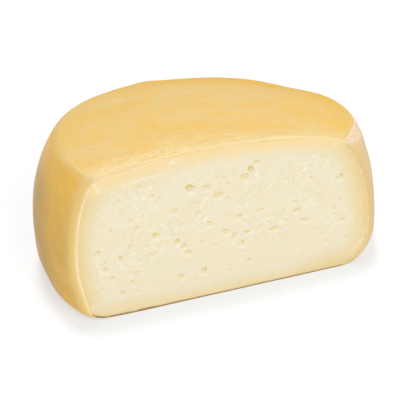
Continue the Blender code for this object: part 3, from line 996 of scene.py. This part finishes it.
# ==== materials ====
class Shader:
    """A short way to add linked nodes to one material."""

    def __init__(self, name):
        self.material = bpy.data.materials.new(name)
        self.material.use_nodes = True
        self.tree = self.material.node_tree
        self.surface = self.tree.nodes["Principled BSDF"]

    def node(self, kind, sockets, output=0, **settings):
        node = self.tree.nodes.new(kind)
        for key, value in settings.items():
            setattr(node, key, value)
        for key, value in sockets.items():
            self.set(node.inputs[key], value)
        return node.outputs[output]

    def set(self, socket, value):
        if isinstance(value, bpy.types.NodeSocket):
            self.tree.links.new(value, socket)
        else:
            socket.default_value = (*value, 1.0) if socket.type == "RGBA" else value

    def finish(self, **values):
        for key, value in values.items():
            self.set(self.surface.inputs[key.replace("_", " ")], value)
        return self.material

    def attribute(self, name):
        return self.node("ShaderNodeAttribute", {}, "Fac", attribute_name=name)

    def place(self, stretch=(1.0, 1.0, 1.0), turn=(0.0, 0.0, 0.0)):
        where = self.node("ShaderNodeTexCoord", {}, "Object")
        turned_place = self.node("ShaderNodeMapping", {"Vector": where, "Rotation": turn})
        return self.node("ShaderNodeMapping", {"Vector": turned_place, "Scale": stretch})

    def noise(self, size, detail=3.0, roughness=0.55, **place):
        """Noise with features about size millimetres long, longer where stretch is under 1."""
        return self.node("ShaderNodeTexNoise", {
            "Vector": self.place(**place), "Scale": 1.0 / (size * MM), "Detail": detail,
            "Roughness": roughness}, "Fac")

    def range(self, value, low, high, out_low=0.0, out_high=1.0, kind="SMOOTHSTEP"):
        return self.node("ShaderNodeMapRange", {
            "Value": value, "From Min": low, "From Max": high,
            "To Min": out_low, "To Max": out_high}, interpolation_type=kind)

    def math(self, operation, a, b):
        return self.node("ShaderNodeMath", {0: a, 1: b}, operation=operation)

    def times(self, a, b):
        return self.math("MULTIPLY", a, b)

    def weighted(self, *pairs):
        """The sum of values, each times its weight."""
        total = self.times(*pairs[0])
        for pair in pairs[1:]:
            total = self.math("ADD", total, self.times(*pair))
        return total

    def mix(self, factor, a, b):
        return self.node("ShaderNodeMix", {0: factor, 6: a, 7: b}, 2, data_type="RGBA")

    def tint(self, tone, colour, value, low, high, strength=1.0, where=None):
        """A colour over the tone, more and more as a value goes from low to high."""
        share = self.range(value, low, high, 0.0, strength)
        if where is not None:
            share = self.times(where, share)
        return self.mix(share, tone, colour)

    def over(self, tone, colour, name, strength=1.0):
        """A colour over the tone, by the share that an attribute gives."""
        share = self.attribute(name)
        if strength < 1.0:
            share = self.times(share, strength)
        return self.mix(share, tone, colour)

    def bump(self, height, strength, distance):
        return self.node("ShaderNodeBump", {
            "Height": height, "Strength": strength, "Distance": distance * MM})


def rind_material():
    s = Shader("rind_coat")
    top = (0.735, 0.483, 0.145)
    dull = (0.705, 0.505, 0.205)
    warm = (0.722, 0.412, 0.025)
    side = (0.888, 0.53, 0.1)
    lit_side_edge = (0.89, 0.645, 0.27)
    mottle = (0.815, 0.482, 0.09)
    # tones for painted shade of the left side, painted sheen of the right side and grey painted sheen at
    # the silhouettes
    left_shade = (0.61, 0.355, 0.068)
    right = (0.75, 0.525, 0.21)
    grazing_sheen = (0.68, 0.555, 0.4)
    edge = (0.715, 0.56, 0.29)
    fold_top = (0.86, 0.69, 0.4)
    fold_foot_shade = (0.72, 0.47, 0.13)
    pale = (0.83, 0.65, 0.37)
    dark = (0.7, 0.38, 0.06)
    curl_light_tone = (0.91, 0.71, 0.38)
    burr = (0.92, 0.83, 0.62)
    patch_and_sheen = (0.9, 0.755, 0.575)
    net_shade = (0.7, 0.46, 0.24)
    bare = (0.77, 0.6, 0.3)
    under = (0.23, 0.12, 0.03)
    upright = s.attribute("upright")
    from_cut = s.attribute("from_cut")
    patch_share = s.attribute("patch_and_sheen")
    loose = s.attribute("loose")
    blotches = s.noise(15.0, 4.0, 0.6, stretch=(0.55, 1.0, 1.0))
    haze = s.noise(40.0, 2.0, stretch=(0.6, 1.0, 1.0))
    streaks = s.noise(1.7, 5.0, 0.65, stretch=(0.24, 1.0, 1.0), turn=(0.0, 0.0, 0.14))
    weave = s.noise(2.6, 4.0, stretch=(1.0, 1.0, 0.5))
    patches = s.noise(9.0)
    tone = s.tint(top, dull, blotches, 0.38, 0.60)
    tone = s.tint(tone, warm, haze, 0.45, 0.70, 0.25)
    tone = s.tint(tone, pale, streaks, 0.50, 0.75, 0.26)
    tone = s.tint(tone, warm, streaks, 0.48, 0.30, 0.28)
    side_tone = s.tint(side, mottle, patches, 0.30, 0.70)
    # painted shade round the left side
    side_tone = s.over(side_tone, left_shade, "left_shade")
    # lighter towards the cut: painted light where the side's coat curls round to the front
    side_tone = s.tint(side_tone, lit_side_edge, from_cut, 9.0, 0.0, 0.60)
    # painted sheen on the right side
    side_tone = s.over(side_tone, right, "right")
    tone = s.tint(tone, side_tone, upright, 0.90, 0.45)
    tone = s.over(tone, warm, "warm")
    tone = s.tint(tone, pale, weave, 0.45, 0.75, 0.15)
    near_top = s.times(s.range(from_cut, 22.0, 1.0), s.range(upright, 0.6, 0.9))
    near_top = s.times(near_top, loose)
    folds = s.noise(0.9, 3.0, 0.6, stretch=(0.16, 1.0, 1.0), turn=(0.0, 0.0, 0.12))
    near_edge = s.times(s.range(from_cut, 14.0, 0.0), s.range(upright, 0.3, 0.9, 0.20, 0.90))
    near_edge = s.times(near_edge, s.range(loose, 0.25, 1.0, 0.65, 1.0))
    tone = s.mix(near_edge, tone, edge)
    # crinkle crests paler, the loose coat's own colour; their feet darker, painted shade
    tone = s.tint(tone, fold_top, folds, 0.50, 0.66, 0.60, near_top)
    tone = s.tint(tone, fold_foot_shade, folds, 0.48, 0.34, 0.50, near_top)
    # grey painted sheen at the silhouettes
    tone = s.over(tone, grazing_sheen, "grazing_sheen", 0.60)
    # painted shade and painted highlights of the top's lines, the crease and the crinkles
    tone = s.over(tone, dark, "dark", 0.80)
    tone = s.over(tone, pale, "pale", 0.60)
    tone = s.over(tone, bare, "bare", 0.90)
    cells = s.node("ShaderNodeTexVoronoi", {"Vector": s.place(), "Scale": 1.0 / (1.35 * MM)},
                   "Distance", feature="DISTANCE_TO_EDGE")
    creases = s.times(s.range(cells, 0.20, 0.0), patch_share)
    # the rough patch: pale, partly the crinkled coat's own colour and partly a painted reflection; its
    # net of creases darker, painted shade
    tone = s.mix(s.times(patch_share, 0.85), tone, patch_and_sheen)
    tone = s.mix(s.times(creases, 0.85), tone, net_shade)
    # painted light on the top's curled front edge, where the coat turns down towards the cut
    curl_light = s.times(s.range(from_cut, 1.1, 0.1, 0.0, 0.45), s.range(upright, 0.6, 0.9))
    curl_light = s.times(curl_light, s.range(s.attribute("bare"), 0.8, 0.2))
    tone = s.mix(curl_light, tone, curl_light_tone)
    tone = s.over(tone, burr, "burr")
    # painted shade of the gap under the wheel
    tone = s.over(tone, under, "under", 0.80)
    grain = s.noise(0.9, 2.0)
    height = s.weighted((streaks, 0.8), (grain, 0.25), (weave, 0.4), (s.times(folds, near_top), 3.0),
                        (creases, -1.0))
    rough = s.range(blotches, 0.3, 0.7, 0.38, 0.46)
    return s.finish(
        Base_Color=tone,
        Roughness=s.math("ADD", rough, s.times(patch_share, 0.12)),
        Normal=s.bump(height, 0.35, 0.25),
        Specular_IOR_Level=0.08)


def paste_material():
    s = Shader("paste")
    ivory = (0.825, 0.742, 0.538)
    cream = (0.808, 0.716, 0.488)
    band = (0.805, 0.635, 0.325)
    band_high = (0.885, 0.675, 0.335)
    band_low = (0.845, 0.685, 0.375)
    deep = (0.75, 0.57, 0.24)
    film_tone = (0.87, 0.64, 0.33)
    eye_glow = (0.87, 0.68, 0.24)
    eye_rim_shade = (0.63, 0.435, 0.095)
    pit_tone = (0.76, 0.64, 0.4)
    white = (0.92, 0.88, 0.76)
    under = (0.25, 0.13, 0.032)
    slant = (0.0, math.radians(30), 0.0)     # the knife dragged the grain along this way
    rough = s.attribute("rough")
    upper = s.attribute("upper")
    wobble = s.noise(14.0, 2.0)
    edge = s.math("ADD", s.attribute("edge"), s.range(wobble, 0.3, 0.7, -0.10, 0.10, "LINEAR"))
    clouds = s.noise(18.0)
    tone = s.tint(ivory, cream, clouds, 0.35, 0.7, 0.45)
    # brighter under the top edge: partly the band's own colour, partly painted light
    band_tone = s.mix(upper, s.over(band, band_low, "lower"), band_high)
    tone = s.tint(tone, band_tone, edge, 1.35, 0.0)
    narrow = s.times(s.range(edge, 0.40, 0.0, 0.0, 0.45), s.range(upper, 1.0, 0.0))
    tone = s.mix(narrow, tone, deep)
    tone = s.over(tone, film_tone, "film")
    speckle = s.noise(0.9, 4.0, 0.7, stretch=(0.4, 1.0, 1.0), turn=slant)
    tone = s.tint(tone, white, speckle, 0.53, 0.70, 0.55, rough)
    tone = s.tint(tone, pit_tone, speckle, 0.46, 0.30, 0.80, rough)
    # painted shade in the pits, and below it painted highlight on crests and lips with the torn flecks'
    # own white
    tone = s.over(tone, pit_tone, "pit_shade", 0.70)
    tone = s.over(tone, white, "pale", 0.85)
    # painted glow of light scattered in the eyes
    tone = s.over(tone, eye_glow, "eye")
    # painted shade under the eyes' upper rims
    tone = s.over(tone, eye_rim_shade, "dark")
    # painted shade of the gap under the face's lower edge
    tone = s.over(tone, under, "under")
    grain = s.noise(0.55)
    drag = s.noise(1.0, stretch=(0.25, 1.0, 1.0), turn=slant)
    height = s.weighted((grain, 0.9), (drag, 0.9), (s.times(speckle, rough), 1.2))
    return s.finish(
        Base_Color=tone,
        Roughness=0.55,
        Normal=s.bump(height, 0.40, 0.28),
        Specular_IOR_Level=0.30)


def floor_material():
    s = Shader("pale_floor")
    tone = s.mix(s.range(s.noise(300.0), 0.3, 0.7), (0.345, 0.350, 0.360), (0.355, 0.360, 0.370))
    return s.finish(
        Base_Color=tone, Roughness=0.9, Specular_IOR_Level=0.1,
        Emission_Color=(1.0, 1.0, 1.0), Emission_Strength=FLOOR_GLOW)


# ==== light, floor, camera ====
def make_floor():
    bpy.ops.mesh.primitive_plane_add(size=FLOOR_WIDTH)
    floor = bpy.context.object
    floor.name = "floor"
    floor.data.materials.append(floor_material())


def make_light(name, place, size, power):
    data = bpy.data.lights.new(name, "AREA")
    data.shape = "DISK"
    data.size = size
    data.energy = power
    light = add(name, data)
    light.location = place
    light.rotation_euler = (Vector(LIGHTS_AIM) - Vector(place)).to_track_quat("-Z", "Y").to_euler()


def make_world(strength):
    world = bpy.data.worlds.new("studio")
    world.use_nodes = True
    background = world.node_tree.nodes["Background"]
    background.inputs["Color"].default_value = (1.0, 1.0, 1.0, 1.0)
    background.inputs["Strength"].default_value = strength
    bpy.context.scene.world = world


def make_camera(shift):
    a, e, r = CAMERA_AZIMUTH, CAMERA_ELEVATION, CAMERA_ROLL
    back = Vector((math.sin(a) * math.cos(e), -math.cos(a) * math.cos(e), math.sin(e)))
    right = Vector((0, 0, 1)).cross(back).normalized()
    up = back.cross(right)
    tilted_right = math.cos(r) * right + math.sin(r) * up
    tilted_up = math.cos(r) * up - math.sin(r) * right
    place = (Vector(CAMERA_AIM) + Vector(shift) + CAMERA_DISTANCE * back) * MM
    data = bpy.data.cameras.new("camera")
    data.lens = CAMERA_LENS
    data.sensor_width = 36.0
    data.clip_start = 0.01
    data.clip_end = 50.0
    camera = add("camera", data)
    axes = Matrix((tilted_right, tilted_up, back)).transposed()
    camera.matrix_world = Matrix.Translation(place) @ axes.to_4x4()
    bpy.context.scene.camera = camera


def main():
    line = knife_line()
    shell, shell_faces, shell_facts, low, high = build_rind(line)
    # The solid stands in the middle of its box, so the smooth rind is moved there.
    box_low, box_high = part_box("cheese")
    shift = (np.array(box_low) + np.array(box_high)) / 2 / MM - (low + high) / 2
    shift[2] = box_low[2] / MM - low[2]
    rind = make_object("rind", shell + shift, shell_faces, shell_facts, smooth_angle=50)
    rind.data.materials.append(rind_material())
    points, faces, facts = build_paste(line)
    paste = make_object("paste", points + shift, faces, facts, smooth_angle=70)
    paste.data.materials.append(paste_material())
    for piece, slot in ((rind, "rind"), (paste, "paste")):
        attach(piece, "root")
        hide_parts("cheese")

    bpy.context.scene.view_settings.view_transform = "Standard"
    make_world(SKY_STRENGTH)
    make_light("overhead", *OVERHEAD)
    make_light("front", *FRONT)
    make_floor()
    make_camera(shift)


main()
